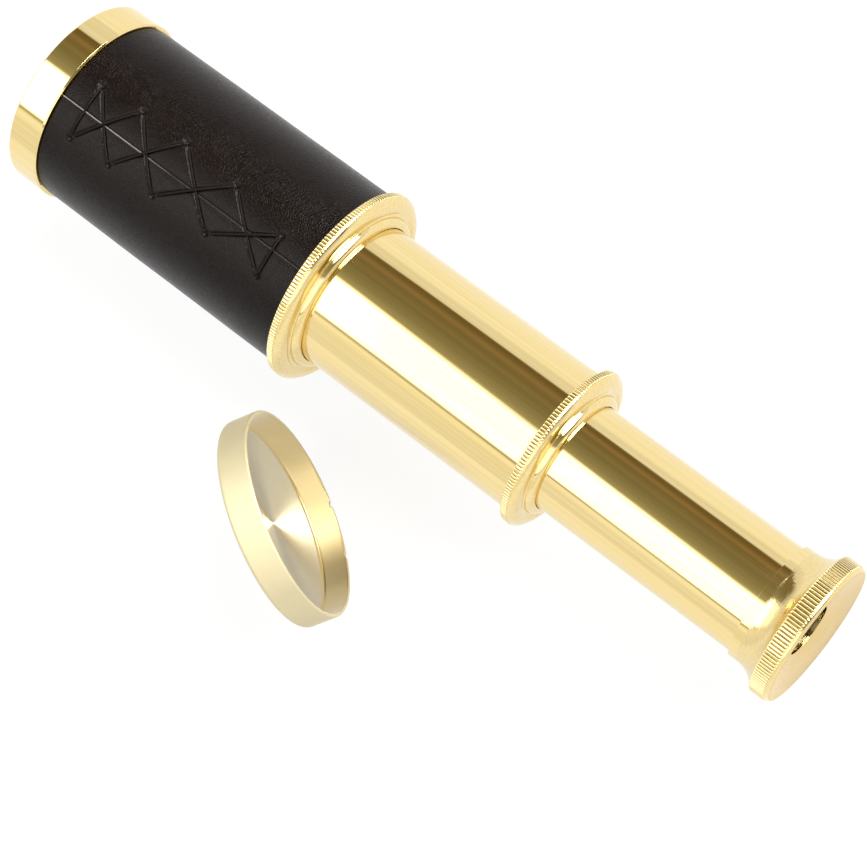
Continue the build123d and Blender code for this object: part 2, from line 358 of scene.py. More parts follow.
def knurl(teeth, depth, front, back):
    """Straight knurl between two stations: depth * (1 - min(1, 1.6 |sin(teeth * angle / 2)|)).

    It runs out over a tenth of a millimetre at each end, and only the outermost skin has it.
    """
    runout = 0.10 * MM

    def groove(s, r, angle):
        across = smooth_step(front, front + runout, s) * (1 - smooth_step(back - runout, back, s))
        ridge = np.minimum(1, 1.6 * np.abs(np.sin(teeth * angle / 2)))
        return depth * across * (r > r.max() - 2 * depth) * (1 - ridge)

    return groove


# ---- materials ----
class Nodes:
    """A node tree with short ways to add nodes.  Every input takes a socket or a plain value."""

    def __init__(self, tree):
        self.tree = tree

    def give(self, target, value):
        """Joins a socket to an input, or sets the input to a value."""
        if isinstance(value, bpy.types.NodeSocket):
            self.tree.links.new(value, target)
        else:
            target.default_value = value

    def node(self, kind, inputs=(), **settings):
        """Adds a node; inputs goes by their numbers or names, and settings by their names."""
        made = self.tree.nodes.new("ShaderNode" + kind)
        for name, value in settings.items():
            setattr(made, name, value)
        for place, value in dict(inputs).items():
            self.give(made.inputs[place], value)
        return made

    def math(self, operation, *values):
        """Result of a Math node."""
        return self.node("Math", enumerate(values), operation=operation).outputs[0]

    def spread(self, value, low, high, to_low=0.0, to_high=1.0, curve="LINEAR"):
        """Value mapped from one range to another."""
        ends = enumerate((value, low, high, to_low, to_high))
        return self.node("MapRange", ends, interpolation_type=curve).outputs[0]

    def mix(self, share, first, second, kind="RGBA"):
        """First colour or vector, turned into the second as the share goes from 0 to 1."""
        slot, result = (6, 2) if kind == "RGBA" else (4, 1)
        inputs = {0: share, slot: first, slot + 1: second}
        return self.node("Mix", inputs, data_type=kind).outputs[result]

    def ramp(self, value, stops):
        """A colour ramp through (position, colour) stops, where one number is a grey."""
        made = self.node("ValToRGB", {"Fac": value})
        elements = made.color_ramp.elements
        while len(elements) < len(stops):
            elements.new(1.0)
        for element, (position, tint) in zip(elements, stops):
            element.position = position
            element.color = (*(tint if hasattr(tint, "__len__") else [tint] * 3), 1.0)[:4]
        return made.outputs["Color"]

    def coordinates(self, output="Object", scale=1.0, rotation=(0, 0, 0)):
        """Texture coordinates times one scale, or one for each direction, then turned."""
        inputs = {
            "Vector": self.node("TexCoord").outputs[output],
            "Scale": scale if hasattr(scale, "__len__") else [scale] * 3,
            "Rotation": rotation,
        }
        return self.node("Mapping", inputs).outputs["Vector"]

    def noise(self, scale, detail=3.0, roughness=0.6, output="Object"):
        """A noise over the coordinates."""
        inputs = {"Vector": self.coordinates(output, scale), "Scale": 1.0, "Detail": detail}
        return self.node("TexNoise", {**inputs, "Roughness": roughness}).outputs["Fac"]

    def bump(self, height, distance, strength, **onto):
        """Bump from a height, its distance in millimetres, onto a Normal if one is given."""
        inputs = {"Height": height, "Distance": distance * MM, "Strength": strength, **onto}
        return self.node("Bump", inputs).outputs["Normal"]


class Paint(Nodes):
    """The nodes of a new material."""

    def __init__(self, name):
        self.material = bpy.data.materials.new(name)
        self.material.use_nodes = True
        super().__init__(self.material.node_tree)

    def feed(self, **values):
        """Joins or sets the shader's own sockets."""
        shader = self.tree.nodes["Principled BSDF"]
        for name, value in values.items():
            self.give(shader.inputs[name.replace("_", " ")], value)


def shade(tint, factor):
    """A colour made lighter or darker by one factor, or by one for each channel."""
    return tuple(np.minimum(1.0, np.array(tint) * factor).tolist())


def brass(paint, tint, marks, tone, shine, clouds=None, relief=None, brushed=None, **fed):
    """Brass whose tone and shine follow its fine tool marks (0) or broad clouds (1).

    marks and clouds are a noise's arguments.  tone is (0 or 1, low, darker factor, high, lighter
    factor), and shine is (0 or 1, low, high, roughness at low, roughness at high).  relief is the
    marks' depth in millimetres and strength.  brushed is the share of anisotropy, along UV.
    """
    noises = [paint.noise(*values) for values in (marks, clouds) if values]
    which, low, darker, high, lighter = tone
    stops = [(low, shade(tint, darker)), (high, shade(tint, lighter))]
    paint.feed(Metallic=1.0, Base_Color=paint.ramp(noises[which], stops))
    paint.feed(Roughness=paint.spread(noises[shine[0]], *shine[1:]), **fed)
    if relief:
        paint.feed(Normal=paint.bump(noises[0], *relief))
    if brushed is not None:
        along = paint.node("Tangent", direction_type="UV_MAP", uv_map="UVMap").outputs[0]
        paint.feed(Anisotropic=brushed, Anisotropic_Rotation=0.25, Tangent=along)


def cap_brass(tint, low, high, brushed, **constants):
    """Values of one of the cap's brasses, whose roughness runs from low to high."""
    return tint, dict(
        marks=((2.0, 20000.0, 1.0), 3.0, 0.65, "UV"), clouds=(160.0, 4.0), relief=(0.005, 0.5),
        tone=(1, 0.2, 0.9, 0.8, 1.0), shine=(0, 0.25, 0.75, low, high), brushed=brushed, **constants
    )


# Each brass by name, as its colour among the finishes and the values that make it.
BRASSES = {
    # lacquered, with faint drawing lines along the axis
    "polished_brass": ("polished", dict(
        marks=((14.0, 2600.0, 2600.0),), clouds=(60.0,), relief=(0.003, 0.5),
        tone=(0, 0.3, (0.95, 0.87, 0.68), 0.62, 1.0), shine=(1, 0.3, 0.7, 0.035, 0.085),
        IOR=1.5, Coat_Weight=0.12, Coat_Roughness=0.05,
    )),
    # a lathe-turned face, its fine marks running in rings
    "turned_face_brass": ("satin", dict(
        marks=((3.0, 26000.0, 1.0), 2.0, 0.6, "UV"), clouds=(220.0,), relief=(0.004, 0.5),
        tone=(1, 0.25, 0.93, 0.75, 1.0), shine=(0, 0.3, 0.7, 0.24, 0.36),
    )),
    # the bottoms of the knurls, darkened as painted shade
    "knurl_shade_brass": ("turned", dict(
        marks=(900.0,), tone=(0, 0.3, 0.35, 0.7, 0.7), shine=(0, 0.3, 0.7, 0.45, 0.30)
    )),
    # the flare, buffed round the axis, so that reflections fray into fine hairs
    "buffed_brass": ("flare", dict(
        marks=((90.0, 2400.0, 1.0), 3.0, 0.7, "UV"), relief=(0.035, 1.0), brushed=0.3,
        tone=(0, 0.3, 0.9, 0.6, 1.0), shine=(0, 0.3, 0.7, 0.08, 0.14),
    )),
    # plain turned brass inside
    "inner_brass": ("turned", dict(
        marks=((9000.0, 300.0, 300.0), 2.0), tone=(0, 0.3, 0.8, 0.7, 1.0),
        shine=(0, 0.3, 0.7, 0.22, 0.38),
    )),
    # the cap: matt side, smoother bore, and brushed faces, where highlights fan out
    "cap_wall_brass": cap_brass("cap", 0.54, 0.64, 0.0, Metallic=0.82),
    "cap_bore_brass": cap_brass("cap_bore", 0.30, 0.38, 0.3),
    "cap_base_brass": cap_brass("cap_base", 0.66, 0.76, 1.0),
    "cap_face_brass": cap_brass("polished", 0.46, 0.56, 1.0),
}


def black_lacquer(paint, finish):
    """Matt black lacquer of baffles and bores."""
    grain = paint.noise(2500.0, 2.0)
    paint.feed(
        Base_Color=paint.ramp(grain, [(0.3, 0.012), (0.7, 0.022)]),
        Roughness=paint.spread(grain, 0.3, 0.7, 0.55, 0.75), Normal=paint.bump(grain, 0.02, 0.4),
    )


def felt_black(paint, finish):
    """Thin black felt of the friction linings."""
    fibres = paint.noise(5000.0, 4.0, 0.7)
    paint.feed(
        Base_Color=paint.ramp(fibres, [(0.3, 0.01), (0.75, 0.035)]), Roughness=0.95,
        Sheen_Weight=0.5, Sheen_Roughness=0.5, Normal=paint.bump(fibres, 0.08, 0.8),
    )


def lens_glass(paint, finish):
    """Clear glass with the faint tint of an old coating."""
    tints = [(0.3, (0.955, 0.975, 0.975)), (0.7, (0.97, 0.98, 0.985))]
    paint.feed(
        Base_Color=paint.ramp(paint.noise(40.0, 1.0, 0.5), tints),
        Transmission_Weight=1.0, IOR=1.517, Roughness=0.0, Coat_Weight=0.0,
    )


def dyed_leather(paint, finish):
    """Fine-grained dyed leather: pebbles of about 0.45 mm with creases between them.

    Its bare edge shows as a pale line beside the seam, which fades away from the objective.
    """
    place = paint.coordinates()
    warp = paint.node("TexNoise", {"Vector": place, "Scale": 1800.0, "Detail": 2.0})
    warped = {"Vector": paint.mix(0.00018, place, warp.outputs["Color"], "VECTOR"), "Scale": 2300.0}
    cells = paint.node("TexVoronoi", warped, feature="DISTANCE_TO_EDGE").outputs["Distance"]
    pebbles = paint.bump(paint.spread(cells, 0.0, 0.22), 0.030, 0.8)
    mottle = paint.noise(240.0, 4.0, 0.55)
    tints = [(0.3, shade(finish.leather, 0.8)), (0.7, shade(finish.leather, 1.25))]
    across, along, _ = paint.node("SeparateXYZ", {0: paint.coordinates("UV")}).outputs
    away = paint.math("ABSOLUTE", paint.math("SUBTRACT", across, 0.16 * MM))
    line = paint.spread(away, 0.04 * MM, 0.13 * MM, 1.0, 0.0)
    worn = paint.math("MULTIPLY", line, paint.spread(along, 20 * MM, 30 * MM, 1.0, 0.15))
    paint.feed(
        Base_Color=paint.mix(worn, paint.ramp(mottle, tints), (*finish.raw_edge, 1)),
        Roughness=paint.spread(mottle, 0.25, 0.75, 0.24, 0.32), Specular_IOR_Level=0.13,
        Normal=paint.bump(paint.noise(9000.0), 0.014, 0.5, Normal=pebbles),
    )


def waxed_cord(paint, finish):
    """Waxed, lightly twisted cord; its UV runs along and round the strand."""
    place = paint.coordinates("UV", (2600.0, 3.0, 1.0), (0, 0, 0.5))
    inputs = {"Vector": place, "Scale": 1.0, "Distortion": 1.0, "Detail": 2.0}
    twist = paint.node("TexWave", inputs, wave_type="BANDS").outputs["Fac"]
    tints = [(0.2, shade(finish.cord, 0.6)), (0.8, shade(finish.cord, 1.4))]
    paint.feed(
        Base_Color=paint.ramp(twist, tints), Roughness=paint.spread(twist, 0, 1, 0.5, 0.4),
        Normal=paint.bump(twist, 0.03, 0.6), Specular_IOR_Level=0.12,
    )


OTHER_FINISHES = (black_lacquer, felt_black, lens_glass, dyed_leather, waxed_cord)
MATERIALS = {}


def material(name):
    """The material of that name, made once from the finishes."""
    if name not in MATERIALS:
        paint, finish = Paint(name), bpy.context.scene.telescope_finishes
        if name in BRASSES:
            tint, values = BRASSES[name]
            brass(paint, getattr(finish, tint), **values)
        for maker in OTHER_FINISHES:
            if maker.__name__ == name:
                maker(paint, finish)
        MATERIALS[name] = paint.material
    return MATERIALS[name]


def alter_points(piece, change):
    """Lets a function change the array of a piece's points."""
    flat = np.empty(len(piece.data.vertices) * 3, np.float32)
    piece.data.vertices.foreach_get("co", flat)
    points = flat.reshape(-1, 3).astype(float)
    change(points)
    piece.data.vertices.foreach_set("co", points.astype(np.float32).ravel())


def finish_piece(piece, body, node, slot, *names, zones=None):
    """Gives a piece its materials and its body, and hides the node that it stands for; slot is not
    used.

    zones is an optional function of the stations and radii of the faces' centres.  It gives a list
    of tests, and a face that passes the first, second... has the second, third... material.
    """
    for name in names:
        piece.data.materials.append(material(name))
    if zones is not None:
        centres = np.empty(len(piece.data.polygons) * 3)
        piece.data.polygons.foreach_get("center", centres)
        x, y, z = centres.reshape(-1, 3).T
        tests = zones(-x, np.hypot(y, z))
        numbers = np.select(tests, range(1, len(tests) + 1), 0)
        piece.data.polygons.foreach_set("material_index", numbers.astype(np.int32))
    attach(piece, body)
    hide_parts(node)


# ---- objective ----
class TELESCOPE_OT_bezel(bpy.types.Operator):
    """Polished bezel and the slotted ring that holds the objective."""

    bl_idname = "telescope.bezel"
    bl_label = "Objective bezel"

    def execute(self, context):
        sizes = context.scene.telescope_tubes
        front, skirt_end, outer = span("objective_bezel")
        tube_bore = radius_of("barrel_tube") - sizes.barrel_wall
        depth = sizes.bezel_depth
        outline = rounded([
            (front, sizes.bezel_pocket, sizes.edge),
            (front, outer, sizes.bezel_edge),
            (depth - 0.28 * MM, outer, 0.05 * MM),
            (depth, outer - 0.22 * MM, 0.04 * MM),
            (depth, tube_bore, 0),
            (skirt_end, tube_bore, sizes.edge),
            (skirt_end, sizes.bezel_skirt_bore, sizes.edge),
            (sizes.lens_seat, sizes.bezel_skirt_bore, 0.1 * MM),
            (sizes.lens_seat, sizes.bezel_pocket, 0),
        ])
        finish_piece(
            turned("bezel", outline, 384), "barrel", "objective_bezel", "polished_brass",
            "polished_brass", "black_lacquer", "turned_face_brass",
            zones=lambda s, r: [
                (r < sizes.bezel_pocket * 1.001) & (s > 0.3 * MM),
                (s < front + 0.02 * MM) & (r < outer - sizes.bezel_edge),
            ],
        )
        node = "objective_retaining_ring"
        bore, slot_half, slot_depth = 13.4 * MM, 0.6 * MM, 0.7 * MM
        front, back, outer = span(node)
        ring = turned("retaining_ring", rounded([
            (front, bore, sizes.edge), (front, outer, 0), (back, outer, 0), (back, bore, 0.1 * MM)
        ]), 360)

        def slots(points):
            cut = (np.abs(points[:, 2]) < slot_half) & (points[:, 0] > -back + 0.8 * MM)
            points[cut, 0] -= slot_depth

        alter_points(ring, slots)
        finish_piece(ring, "barrel", node, "turned_brass", "black_lacquer")
        return {"FINISHED"}


def lens_outline(front, back, rim, front_bulge, back_bulge, steps=18):
    """Outline of a lens from the front pole over the rim to the back pole.

    front and back are the stations of the rim's edges, and each face bulges out by its amount on
    the axis; a negative bulge is a hollow face.  A face is part of a sphere, whose depth at a
    height h off the axis is curve - sqrt(curve^2 - h^2).
    """
    height = rim * np.sin(np.linspace(0.04, math.pi / 2, steps))

    def face(edge, bulge, sign):
        if abs(bulge) < 1e-9:
            return edge + 0 * height
        curve = (rim ** 2 + bulge ** 2) / (2 * abs(bulge))
        depth = curve - np.sqrt(curve ** 2 - height ** 2)
        return edge + sign * math.copysign(1, bulge) * (abs(bulge) - depth)

    first = np.stack([face(front, front_bulge, -1), height], -1)
    last = np.stack([face(back, back_bulge, 1), height], -1)[::-1]
    return np.vstack([first, last])


class TELESCOPE_OT_lenses(bpy.types.Operator):
    """The six lenses: the objective's two, the erector's two, the field lens and the eye lens."""

    bl_idname = "telescope.lenses"
    bl_label = "Lenses"

    def execute(self, context):
        rim = radius_of("objective_crown_lens")
        crown = lens_outline(2.6 * MM, 3.6 * MM, rim, 1.2 * MM, 0.9 * MM)
        flint = lens_outline(3.6 * MM, span("objective_flint_lens")[1], rim, -0.9 * MM, 0.0)
        lenses = [("crown_lens", crown, "barrel", "objective_crown_lens"),
                  ("flint_lens", flint, "barrel", "objective_flint_lens")]
        for node, bulge in (("erector_front_lens", 0.8 * MM), ("erector_rear_lens", 0.8 * MM),
                            ("field_lens", 0.5 * MM), ("eye_lens", 0.9 * MM)):
            front, back, outer = span(node)
            outline = lens_outline(front + bulge, back - bulge, outer, bulge, bulge)
            lenses.append((node + "_glass", outline, "second_draw", node))
        for name, outline, body, node in lenses:
            lens = turned(name, outline, 128, closed=False)
            finish_piece(lens, body, node, "lens_glass", "lens_glass")
        return {"FINISHED"}


# ---- tubes ----
def tube_piece(name, wall, edge, segments):
    """A body's tube with rounded ends, polished outside and black in the bore."""
    node = name + "_tube"
    front, back, outer = span(node)
    bore = outer - wall
    outline = rounded([
        (front, bore, edge), (front, outer, edge), (back, outer, edge), (back, bore, edge)
    ], 4)
    finish_piece(
        turned(name, outline, segments), name, node, "polished_brass",
        "polished_brass", "black_lacquer", zones=lambda s, r: [r < bore + 0.02 * MM],
    )


class TELESCOPE_OT_barrel(bpy.types.Operator):
    """Barrel tube, under the leather."""

    bl_idname = "telescope.barrel"
    bl_label = "Barrel tube"

    def execute(self, context):
        tube_piece("barrel", context.scene.telescope_tubes.barrel_wall, 0.05 * MM, 256)
        return {"FINISHED"}


class TELESCOPE_OT_draws(bpy.types.Operator):
    """The two draw tubes."""

    bl_idname = "telescope.draws"
    bl_label = "Draw tubes"

    def execute(self, context):
        for name in ("first_draw", "second_draw"):
            tube_piece(name, context.scene.telescope_tubes.draw_wall, 0.06 * MM, 384)
        return {"FINISHED"}


# ---- leather and lacing ----
def stitches(sizes):
    """Every stitch as its two holes' (station, angle), with True where it runs on top."""
    near = [(s, sizes.seam_angle + a) for s, a in zip(sizes.stations, sizes.near_angles)]
    far = [(s, sizes.seam_angle - a) for s, a in zip(sizes.stations, sizes.far_angles)]
    runs = [(near[0], far[0], False), (near[-1], far[-1], True)]
    for k in range(len(near) - 1):
        runs.append((near[k], far[k + 1], True))
        runs.append((far[k], near[k + 1], False))
    return runs


def distance_to_run(station, around, start, end):
    """Distance of points on the unrolled sleeve from the straight run between two points."""
    run = np.subtract(end, start)
    share = ((station - start[0]) * run[0] + (around - start[1]) * run[1]) / (run @ run)
    share = np.clip(share, 0, 1)
    return np.hypot(station - start[0] - share * run[0], around - start[1] - share * run[1])


class TELESCOPE_OT_leather(bpy.types.Operator):
    """Leather sleeve with its seam, grooves under the stitches and dimples at the holes."""

    bl_idname = "telescope.leather"
    bl_label = "Leather sleeve"

    def execute(self, context):
        sizes = context.scene.telescope_leather
        node = "leather_sleeve"
        front, back, outer = span(node)
        fine = np.radians(27)
        near = np.arcsinh(np.linspace(-1, 1, 131) * np.sinh(2.0)) / 2.0
        near = fine * (0.35 * near ** 3 + 0.65 * near)
        angle = np.concatenate([near, np.linspace(fine, TAU - fine, 108)[1:-1]])
        station = np.linspace(front, back, 342)
        s, a = station[:, None], angle[None]
        around = np.where(a > math.pi, a - TAU, a) * outer
        depth = 0 * s * a
        for start, end, on_top in stitches(sizes):
            first = (start[0], (start[1] - sizes.seam_angle) * outer)
            last = (end[0], (end[1] - sizes.seam_angle) * outer)
            away = distance_to_run(s, around, first, last)
            pressed = sizes.groove * bell(away, 0.75 * sizes.cord_width)
            pillow = 0.07 * MM * bell(away - 1.1 * MM, 0.5 * MM)
            depth = np.maximum(depth, pressed) - pillow * (depth < 0.02 * MM)
            for hole in (first, last):
                away = np.hypot(s - hole[0], around - hole[1])
                depth = np.maximum(depth, 0.55 * MM * bell(away, 0.5 * MM))
        slit = sizes.seam_depth * bell(around, 0.5 * sizes.seam_width, 4)
        depth = np.maximum(depth + 0.10 * MM * bell(around, 0.9 * MM), slit)
        turn_in = 0.45 * MM
        short = np.maximum(turn_in - np.minimum(s - front, back - s), 0)
        fall = turn_in - np.sqrt(np.maximum(turn_in ** 2 - short ** 2, 0))
        wander = 0.035 * MM * np.sin(s / (7.3 * MM) + 2 * a) * np.sin(3 * a + 1.0)
        radius = outer - 0.04 * MM - depth - 0.6 * fall - np.abs(wander)
        inside = 0 * radius[:1] + outer - sizes.thickness + 0.01 * MM
        radius = np.concatenate([inside, radius, inside])
        s = np.concatenate([s[:1], s, s[-1:]])
        points = off_axis(s, radius, a + sizes.seam_angle).reshape(-1, 3)
        quads = strip(len(s), len(angle), True, True)
        piece = mesh_from("leather", points, quads, pairs(a * outer, s))
        finish_piece(piece, "barrel", node, "dark_leather", "dyed_leather")
        return {"FINISHED"}


class TELESCOPE_OT_lacing(bpy.types.Operator):
    """Waxed cord laced across the seam in crosses, with a closing bar at each end."""

    bl_idname = "telescope.lacing"
    bl_label = "Seam lacing"

    def execute(self, context):
        sizes = context.scene.telescope_leather
        outer = radius_of("leather_sleeve")
        along, sides = 36, 12
        points, quads, uv, fans = [], [], [], []
        t = np.linspace(0, 1, along)
        for number, (start, end, on_top) in enumerate(stitches(sizes)):
            station = start[0] + (end[0] - start[0]) * t
            angle = start[1] + (end[1] - start[1]) * t
            ends = np.minimum(t, 1 - t)
            dive = -1.0 * MM * (1 - smooth_step(0, 0.11, ends))
            cross = bell(angle - sizes.seam_angle, math.radians(4))
            rise = (0.14 if on_top else -0.14) * MM * cross
            path = off_axis(station, outer - 0.15 * MM + dive + rise, angle)
            tangent = unit(np.gradient(path, axis=0))
            side = unit(np.cross(tangent, off_axis(0, 1, angle)))
            up = np.cross(side, tangent)
            turn = np.arange(sides) / sides * TAU
            wide, tall = sizes.cord_width / 2, sizes.cord_width * 0.40
            shell = (path[:, None] + wide * np.cos(turn)[None, :, None] * side[:, None]
                     + tall * np.sin(turn)[None, :, None] * up[:, None])
            base = number * (along * sides + 2)
            points.append(np.vstack([shell.reshape(-1, 3), path[:1], path[-1:]]))
            quads.append(strip(along, sides, False, True) + base)
            run = np.concatenate([[0], np.cumsum(np.linalg.norm(np.diff(path, axis=0), axis=1))])
            uv += [pairs(run[:, None], turn[None] / TAU), np.array([[0, 0], [run[-1], 0]])]
            fans.append(end_fans(base, along, sides))
        piece = mesh_from("lacing", *(np.vstack(part) for part in (points, quads, uv, fans)))
        finish_piece(piece, "barrel", "seam_lacing", "waxed_cord", "waxed_cord")
        return {"FINISHED"}


# ---- collars ----
def collar_piece(body, name, node, draw_node, tube_bore, teeth, sizes, knurls):
    """Knurled collar: flange, rounded shoulder, falling face, cove and bead round the draw."""
    bore = radius_of(draw_node) + sizes.running_gap
    skirt_front, lip, top = span(node)
    flange = skirt_front + 5.0 * MM
    height, depth, skirt = top - bore, lip - flange, tube_bore - 0.01 * MM
    knurl_back = flange + knurls.width
    shoulder_start = (knurl_back + 0.05 * MM, top - 0.02 * MM)
    shoulder_end = (flange + 0.70 * depth, bore + 0.50 * height)
    cove_end = (flange + 0.66 * depth, bore + 0.32 * height)
    bead_end = (lip - 0.02 * MM, bore + 0.06 * MM)
    outline = np.vstack([
        [(skirt_front, bore + 0.5 * MM), (skirt_front, skirt), (flange, skirt)],
        rounded([(flange, tube_bore, 0), (flange, top, 0.15 * MM), (knurl_back, top, 0.08 * MM),
                 (knurl_back, bore, 0)], 3)[1:-1],
        bowed(shoulder_start, shoulder_end, 0.40 * MM, 18)[1:],
        bowed(shoulder_end, cove_end, -0.18 * MM, 9)[1:],
        bowed(cove_end, bead_end, 0.42 * MM, 18)[1:],
        [(lip - 0.12 * MM, bore), (lip - 0.9 * MM, bore), (lip - 0.95 * MM, bore + 0.5 * MM)],
    ])
    groove = knurl(teeth, knurls.depth, flange + 0.04 * MM, knurl_back + 0.06 * MM)
    # the bottoms of the knurl's grooves take a darker brass, which is painted shade
    finish_piece(
        turned(name, outline, teeth * 8, groove=groove), body, node, "polished_brass",
        "polished_brass", "black_lacquer", "knurl_shade_brass",
        zones=lambda s, r: [
            s < flange - 0.01 * MM,
            (s > flange + 0.1 * MM) & (s < knurl_back)
            & (r > top - 1.2 * knurls.depth) & (r < top - 0.35 * knurls.depth),
        ],
    )


class TELESCOPE_OT_collars(bpy.types.Operator):
    """Knurled collars at the ends of the barrel and of the first draw."""

    bl_idname = "telescope.collars"
    bl_label = "Collars"

    def execute(self, context):
        sizes, knurls = context.scene.telescope_tubes, context.scene.telescope_knurls
        barrel_bore = radius_of("barrel_tube") - sizes.barrel_wall
        draw_bore = radius_of("first_draw_tube") - sizes.draw_wall
        collar_piece("barrel", "barrel_collar_turned", "barrel_collar", "first_draw_tube",
                     barrel_bore, knurls.barrel_teeth, sizes, knurls)
        collar_piece("first_draw", "draw_collar_turned", "draw_collar", "second_draw_tube",
                     draw_bore, knurls.draw_teeth, sizes, knurls)
        return {"FINISHED"}


# ---- eyepiece ----
class TELESCOPE_OT_eyepiece(bpy.types.Operator):
    """Flared eyepiece with a stepped neck, a knurled rim and a dished satin face."""

    bl_idname = "telescope.eyepiece"
    bl_label = "Eyepiece"

    def execute(self, context):
        sizes, knurls = context.scene.telescope_tubes, context.scene.telescope_knurls
        node = "eyepiece_shell"
        skirt, end, rim = span(node)
        _, neck_front, tube_r = span("second_draw_tube")
        tube_bore = tube_r - sizes.draw_wall
        neck_r, neck_back = tube_r + 0.55 * MM, neck_front + 1.5 * MM
        bore, hole, seat = 8.2 * MM, 4.4 * MM, 149.0 * MM
        face_rim = (end, rim - 0.85 * MM)
        hole_edge = (150.4 * MM, hole)
        flare_end = (knurls.eye_front - 0.25 * MM, rim - 0.42 * MM)
        outline = np.vstack([
            [(skirt, bore), (skirt, tube_bore - 0.01 * MM), (neck_front, tube_bore - 0.01 * MM)],
            rounded([(neck_front, tube_bore, 0), (neck_front, neck_r, 0.02 * MM),
                     (neck_back, neck_r, 0), (neck_back, bore, 0)], 4)[1:-1],
            bowed((neck_back, neck_r), flare_end, -0.50 * MM, 22)[1:],
            rounded([flare_end + (0,), (knurls.eye_front, rim - 0.10 * MM, 0.06 * MM),
                     (knurls.eye_front + 0.10 * MM, rim, 0.06 * MM),
                     (knurls.eye_back, rim, 0.05 * MM), (seat, hole, 0)], 4)[1:-1],
            bowed((knurls.eye_back + 0.05 * MM, rim - 0.03 * MM), face_rim, 0.20 * MM, 10)[1:],
            rounded([face_rim + (0,), hole_edge + (0.08 * MM,), (seat, hole, 0)], 4)[1:],
            [(seat, bore)],
        ])
        groove = knurl(
            knurls.eye_teeth, knurls.depth * 1.15, knurls.eye_front, knurls.eye_back + 0.06 * MM
        )
        # the bottoms of the knurl's grooves take a darker brass, which is painted shade
        finish_piece(
            turned("eyepiece", outline, knurls.eye_teeth * 8, groove=groove), "second_draw", node,
            "polished_brass",
            "polished_brass", "turned_face_brass", "black_lacquer", "buffed_brass", "knurl_shade_brass",
            zones=lambda s, r: [
                (s > 150.2 * MM) & (r < rim - 0.5 * MM),
                (s < seat + 0.01 * MM) & (r < bore + 0.02 * MM),
                (s > neck_back - 0.1 * MM) & (s < knurls.eye_front) & (r > neck_r - 0.3 * MM),
                (s > knurls.eye_front + 0.1 * MM) & (s < knurls.eye_back)
                & (r > rim - 1.3 * knurls.depth) & (r < rim - 0.4 * knurls.depth),
            ],
        )
        return {"FINISHED"}


# ---- lens cap ----
class TELESCOPE_OT_lens_cap(bpy.types.Operator):
    """Loose slip-on cap, a thin cup standing on its rim beside the first draw."""

    bl_idname = "telescope.lens_cap"
    bl_label = "Lens cap"

    def execute(self, context):
        sizes = context.scene.telescope_cap
        low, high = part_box("lens_cap")
        outer = (high.z - low.z) / 2
        bore = outer - sizes.wall
        across, along = math.cos(sizes.turn), math.sin(sizes.turn)
        depth = (high.x - low.x - 2 * outer * along) / across
        inside = depth - sizes.base
        lip = sizes.wall * 0.42
        wall = rounded([
            (inside, bore * 0.4, 0), (inside, bore, 0.55 * MM), (0, bore, lip), (0, outer, lip),
            (depth, outer, sizes.corner), (depth, outer * 0.4, 0),
        ], 7)[1:-1]
        spread_in = np.stack([np.full(12, inside), np.linspace(0.4 * MM, bore - 0.75 * MM, 12)], -1)
        spread_out = np.stack([np.full(12, depth), np.linspace(outer - 1.1 * MM, 0.4 * MM, 12)], -1)
        outline = np.vstack([spread_in, wall, spread_out])
        cup = turned("cap", outline, 384, closed=False)

        def nicks(points):
            turn = np.arctan2(points[:, 1], points[:, 2])
            at_rim = 1 - smooth_step(0.0, 0.6 * MM, -points[:, 0])
            at_rim *= np.hypot(points[:, 1], points[:, 2]) > bore - 0.1 * MM
            for place, width, share in ((171.5, 0.022, 1.0), (202, 0.016, 0.6)):
                beside = (turn - math.radians(place) + math.pi) % TAU - math.pi
                points[:, 0] -= share * sizes.nick * at_rim * bell(beside, width)

        alter_points(cup, nicks)
        finish_piece(
            cup, "lens_cap", "lens_cap", "satin_brass",
            "cap_wall_brass", "cap_base_brass", "cap_bore_brass", "cap_face_brass",
            zones=lambda s, r: [
                (s < depth - 0.3 * sizes.base) & (r < bore - 0.4 * MM),
                (s < inside) & (r < bore + 0.1 * MM),
                (s > depth - 0.02 * MM) & (r < outer - sizes.corner),
            ],
        )
        mouth = Vector((-across, -along, 0))
        centre = (low + high) / 2 + mouth * (depth / 2)
        turned_round = Matrix.Rotation(math.pi + sizes.turn, 4, "Z")
        cup.data.transform(Matrix.Translation(centre) @ turned_round)
        cup.visible_glossy = False
        return {"FINISHED"}


# ---- inner parts ----
INNER_FINISHES = {
    "felt_black": ("barrel_felt", "draw_felt"),
    "black_lacquer": ("first_draw_baffle", "erector_diaphragm", "eyepiece_spacer"),
    "inner_brass": (
        "first_draw_stop_ring", "second_draw_stop_ring", "erector_tube", "erector_front_ring",
        "erector_rear_ring", "field_lens_ring",
    ),
}


class TELESCOPE_OT_inner_parts(bpy.types.Operator):
    """Finishes of the pieces inside the tubes, which keep their solids' shapes."""

    bl_idname = "telescope.inner_parts"
    bl_label = "Inner parts"

    def execute(self, context):
        for name, nodes in INNER_FINISHES.items():
            for node in nodes:
                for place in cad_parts[node].material_slots:
                    place.material = material(name)
        return {"FINISHED"}


# ---- stage ----
PALE, BRIGHT = 0.97, 3.0
